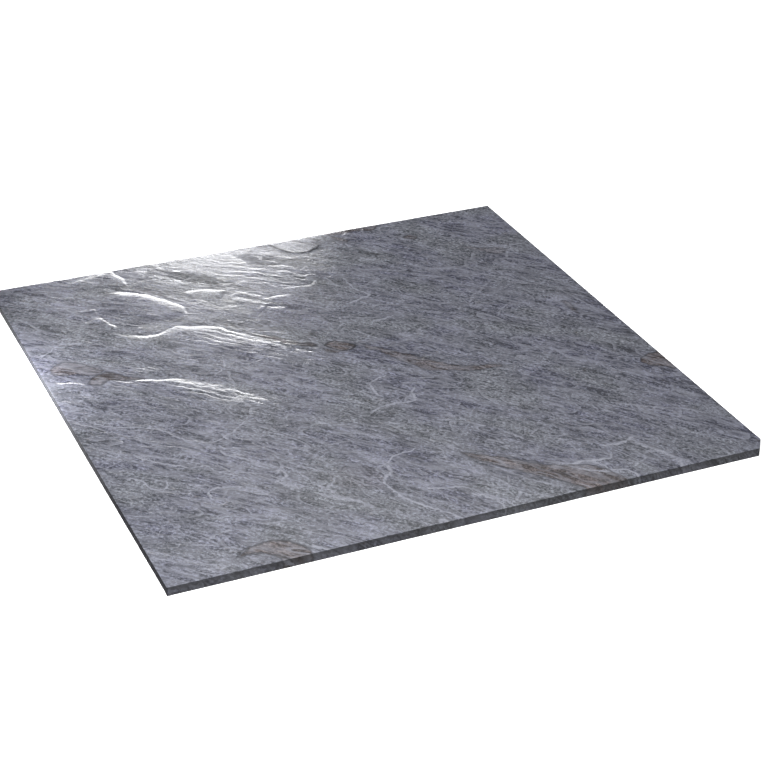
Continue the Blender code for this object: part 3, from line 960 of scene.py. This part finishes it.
def ridge_marks(n, streak):
    """(the painted highlight on the crests, the painted shade in the troughs, the relief of the finer
    ridges on them).
    """
    height = n.attribute("ridge_height", "Fac")
    phase = n.attribute("ridge_phase", "Fac")
    turn = n.math("FRACT", phase)
    crest_highlight = n.product(n.remap(turn, 0.05, 0.2), n.remap(turn, 0.5, 0.34), height, 1.3)
    trough_shade = n.product(n.remap(turn, 0.8, 0.97), height, 1.6)
    fine_turn = n.math("FRACT", n.math("MULTIPLY_ADD", phase, 2.6, streak))
    falling = n.math("DIVIDE", n.math("SUBTRACT", 1.0, fine_turn), 0.65)
    fine = n.math("MINIMUM", n.math("DIVIDE", fine_turn, 0.35), falling)
    return n.math("MINIMUM", crest_highlight, 0.4), n.math("MINIMUM", trough_shade, 0.5), n.product(height, fine, 0.7)


def stone_tone(n, gains):
    """How light the stone is, from noises and how much each counts, darkened with painted shade on the
    broken patches. It is never very dark.
    """
    tone = 1.0
    for value, gain in gains:
        tone = n.math("MULTIPLY_ADD", n.from_middle(value), gain, tone)
    # The broken patches are darkened as painted shade of their small rough steps.
    broken = n.math("MULTIPLY_ADD", n.attribute("broken", "Fac"), -0.48, 1.0)
    return n.product(n.math("POWER", n.largest(tone, 0.68), 1.6), broken)


def stone_pattern(n):
    """The stone's colour with its painted highlights and shadows, its relief for the bump and a slow
    mottle for its roughness.
    """
    grain = n.attribute("grain", "Vector")
    sway = n.noise(grain, (34, 22), (70, 7, 2), 3, output="Color")
    bent = n.vector_math("ADD", grain, n.vector_math("MULTIPLY_ADD", sway, (10, 5, 0), (-5, -2.5, 0)))
    streak = n.noise(bent, (30, 4), (0, 0, 0), 3, 0.6, 0.3)
    fleck = n.noise(bent, (3.4, 2.6), (31, 7, 3), 2, 0.7)
    cloud = n.noise(bent, (12, 9), (41, 3, 27), 3, 0.6, 0.3)
    mottle = n.noise(bent, (38, 20), (5, 40, 9), 4, 0.6, 0.4)
    patch = n.noise(grain, (110, 65), (3, 2, 5), 3, 0.55, 0.4)
    strand = n.noise(bent, (95, 4.6), (17, 33, 4), 2)
    rust = n.noise(bent, (8, 5), (2, 61, 12), 3, 0.6)
    gate = n.noise(grain, (45, 28), (9, 50, 1), 3, 0.6)
    some, others = n.remap(gate, 0.40, 0.60), n.remap(gate, 0.60, 0.42)
    strand_gain = n.remap(gate, 0.40, 0.64, 0.2, 1.5)
    tone = stone_tone(n, [(streak, 0.8), (cloud, 1.2), (fleck, 3.8), (mottle, 1.35), (patch, 0.6),
                          (strand, strand_gain)])

    # The lower side of each lamina edge gets painted shadow of its small step.
    upper, lower, level = lamina_edges(n, bent, 9.0, (2, 2, 2), (120, 46))
    small_upper, small_lower, small_level = lamina_edges(n, bent, 7.0, (8, 1, 6), (52, 24))
    wobble = n.product(n.from_middle(fleck), 2.0)
    vein_and_highlight_pale, crack_and_shadow_dark = drawn_line_marks(n, wobble)
    brown, outline = inclusion_marks(n, wobble)
    # The ridges' crests get painted highlight and their troughs painted shade.
    crest_highlight, trough_shade, fine_ridge = ridge_marks(n, streak)
    # Pale: lamina edges, threads, veins with painted ledge highlights, and painted highlight on ridge
    # crests.
    pale = n.largest(
        n.product(upper, some, 0.55),
        n.product(small_upper, others, 0.45),
        n.product(thread(n, bent, (75, 20), (4, 9, 2), 0.055), n.remap(patch, 0.66, 0.44), 0.52),
        n.product(thread(n, bent, (40, 12), (14, 3, 8), 0.075), 0.32),
        n.product(vein_and_highlight_pale, n.math("MULTIPLY_ADD", fleck, 1.4, 0.4)),
        crest_highlight,
    )
    # Dark: painted shadow below lamina edges, dark threads, cracks with painted step shadows, inclusion
    # outlines, and painted shade in ridge troughs.
    dark = n.largest(
        n.product(lower, some, 0.3),
        n.product(small_lower, others, 0.3),
        n.product(thread(n, bent, (60, 18), (6, 19, 5), 0.055), n.remap(mottle, 0.60, 0.42), 0.2),
        crack_and_shadow_dark,
        outline,
        trough_shade,
    )

    stone = n.mix(n.remap(patch, 0.35, 0.65), SLATE_VIOLET, SLATE_OLIVE)
    stone = n.mix(n.remap(rust, 0.58, 0.76, 0.0, 0.5), stone, RUST_SPECK)
    stone = n.times(n.mix(brown, stone, INCLUSION_BROWN), tone)
    stone = n.mix(dark, n.mix(pale, stone, VEIN_AND_HIGHLIGHT_PALE), CRACK_AND_SHADOW_DARK)
    relief = n.total(n.product(streak, 0.30), n.product(fleck, 0.22), n.product(level, 0.10),
                     n.product(small_level, 0.06), n.product(vein_and_highlight_pale, 0.06), fine_ridge)
    return stone, relief, mottle


def add_bump(n, relief, depth):
    bump = n.tree.nodes.new("ShaderNodeBump")
    bump.inputs["Strength"].default_value = 1.0
    bump.inputs["Distance"].default_value = depth
    n.link(relief, bump.inputs["Height"])
    n.link(bump.outputs[0], n.shader.inputs["Normal"])


def split_face_material():
    """Satin, a little smoother on the smooth plates and dull where the stone broke up."""
    n = Nodes("riven_slate")
    stone, relief, mottle = stone_pattern(n)
    n.link(stone, n.shader.inputs["Base Color"])
    rough = n.math("MULTIPLY_ADD", mottle, 0.14, 0.13)
    rough = n.math("MULTIPLY_ADD", n.attribute("gloss", "Fac"), -0.03, rough)
    rough = n.math("MULTIPLY_ADD", n.attribute("broken", "Fac"), 0.38, rough)
    n.link(rough, n.shader.inputs["Roughness"])
    n.shader.inputs["Specular IOR Level"].default_value = DULL_SPECULAR
    add_bump(n, relief, 0.35 * MM)
    return n.material


def side_material():
    """Dark and dull from painted shade, darker towards the top of the sides and lighter towards their
    foot, and darker still at the front part of the left side, which is also less glossy.
    """
    n = Nodes("sawn_slate_side")
    stone, relief, _ = stone_pattern(n)
    level = n.attribute("level", "Fac")
    side_painted_shade = n.attribute("side_painted_shade", "Fac")
    # Painted shade: darker towards the top of the sides, lighter towards their foot.
    shade = n.remap(level, 0.25, 0.95, 1.15 * SIDE_PAINTED_SHADE, 0.7 * SIDE_PAINTED_SHADE)
    n.link(n.times(stone, n.product(shade, side_painted_shade)), n.shader.inputs["Base Color"])
    n.shader.inputs["Roughness"].default_value = 0.75
    specular = n.remap(side_painted_shade, 1 - PAINTED_SHADE_SHARE, 1.0, 0.03, DULL_SPECULAR)
    n.link(specular, n.shader.inputs["Specular IOR Level"])
    add_bump(n, relief, 1.2 * MM)
    return n.material


def floor_material():
    n = Nodes("pale_floor")
    n.shader.inputs["Base Color"].default_value = (0.8, 0.8, 0.8, 1)
    n.shader.inputs["Roughness"].default_value = 0.9
    n.shader.inputs["Specular IOR Level"].default_value = 0.1
    n.shader.inputs["Emission Color"].default_value = (1, 1, 1, 1)
    n.shader.inputs["Emission Strength"].default_value = 1.0
    return n.material


# ------------ Camera, light and floor ------------

CAMERA_TARGET = Vector((0.0172, -0.0351, 0.0))
CAMERA_DISTANCE = 1.995
CAMERA_TURN = math.radians(-24.27)
CAMERA_RISE = math.radians(29.34)
CAMERA_ROLL = math.radians(0.843)
CAMERA_LENS = 92.8
SENSOR = 36.0


def add_camera():
    camera = bpy.data.cameras.new("camera")
    camera.lens = CAMERA_LENS
    camera.sensor_width = SENSOR
    item = bpy.data.objects.new("camera", camera)
    bpy.context.scene.collection.objects.link(item)
    back = Vector((
        math.sin(CAMERA_TURN) * math.cos(CAMERA_RISE),
        -math.cos(CAMERA_TURN) * math.cos(CAMERA_RISE),
        math.sin(CAMERA_RISE),
    ))
    right = (-back).cross(Vector((0, 0, 1))).normalized()
    up = right.cross(-back)
    rolled_right = math.cos(CAMERA_ROLL) * right + math.sin(CAMERA_ROLL) * up
    rolled_up = -math.sin(CAMERA_ROLL) * right + math.cos(CAMERA_ROLL) * up
    turn = Matrix((rolled_right, rolled_up, back)).transposed().to_4x4()
    item.matrix_world = Matrix.Translation(CAMERA_TARGET + back * CAMERA_DISTANCE) @ turn
    bpy.context.scene.camera = item


# Where the lights aim, in metres.
MIDDLE = (0, 0, 0.01)
SHEEN = (-0.06, 0.27, 0.01)
LEDGE_AREA = (-0.15, 0.12, 0.01)
LEFT_EDGE = (-0.3, 0.095, 0.01)

# Each light: its name, how many degrees it stands to the right of the back and above the aim, how far
# from the aim in metres, the aim, its width and height in metres, and its power in watts. The windows
# stand low behind the slab, so that the slopes of the broken ledges reflect them.
LIGHTS = [
    ("front_softbox", -142, 50, 1.7, MIDDLE, (0.9, 0.9), 32.5),
    ("back_softbox", 30, 50, 1.7, MIDDLE, (0.9, 0.9), 4.0),
    ("sheen_window", 18.6, 26, 0.8, SHEEN, (0.14, 0.10), 0.22),
    ("upper_window", 18, 13, 0.9, LEDGE_AREA, (0.42, 0.11), 1.6),
    ("lower_window", 18, 6.5, 0.9, LEDGE_AREA, (0.42, 0.10), 2.3),
    ("soft_window", 22, 18, 0.9, LEDGE_AREA, (0.26, 0.08), 0.30),
    ("left_glow", -90, 18, 0.06, LEFT_EDGE, (0.14, 0.01), 0.36),
]
WORLD_STRENGTH = 0.09


def add_area_light(name, turn, rise, distance, aim, size, power):
    light = bpy.data.lights.new(name, "AREA")
    light.shape = "RECTANGLE"
    light.size, light.size_y = size
    light.energy = power
    item = bpy.data.objects.new(name, light)
    bpy.context.scene.collection.objects.link(item)
    turn, rise = math.radians(turn), math.radians(rise)
    way = Vector((math.sin(turn) * math.cos(rise), math.cos(turn) * math.cos(rise), math.sin(rise)))
    item.location = Vector(aim) + way * distance
    item.rotation_euler = (Vector(aim) - item.location).to_track_quat("-Z", "Y").to_euler()
    item.visible_camera = False
    return item


def add_lights():
    lights = {row[0]: add_area_light(*row) for row in LIGHTS}
    lights["left_glow"].visible_glossy = False
    world = bpy.data.worlds.new("studio")
    world.use_nodes = True
    background = world.node_tree.nodes["Background"]
    background.inputs["Color"].default_value = (1, 1, 1, 1)
    background.inputs["Strength"].default_value = WORLD_STRENGTH
    bpy.context.scene.world = world


FLOOR_REACH = 12.0
FLOOR_LEVEL = -0.02 * MM


def add_floor():
    mesh = bpy.data.meshes.new("floor")
    turns = ((-1, -1), (1, -1), (1, 1), (-1, 1))
    corners = [(x * FLOOR_REACH, y * FLOOR_REACH, FLOOR_LEVEL) for x, y in turns]
    mesh.from_pydata(corners, [], [(0, 1, 2, 3)])
    floor = bpy.data.objects.new("floor", mesh)
    bpy.context.scene.collection.objects.link(floor)
    mesh.materials.append(floor_material())


def main():
    bpy.context.scene.view_settings.view_transform = "Standard"
    add_camera()
    add_lights()
    add_floor()
    slab = make_slab()
    slab.data.materials.append(split_face_material())
    slab.data.materials.append(side_material())
    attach(slab, "root")
    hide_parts("stone_slab")


main()
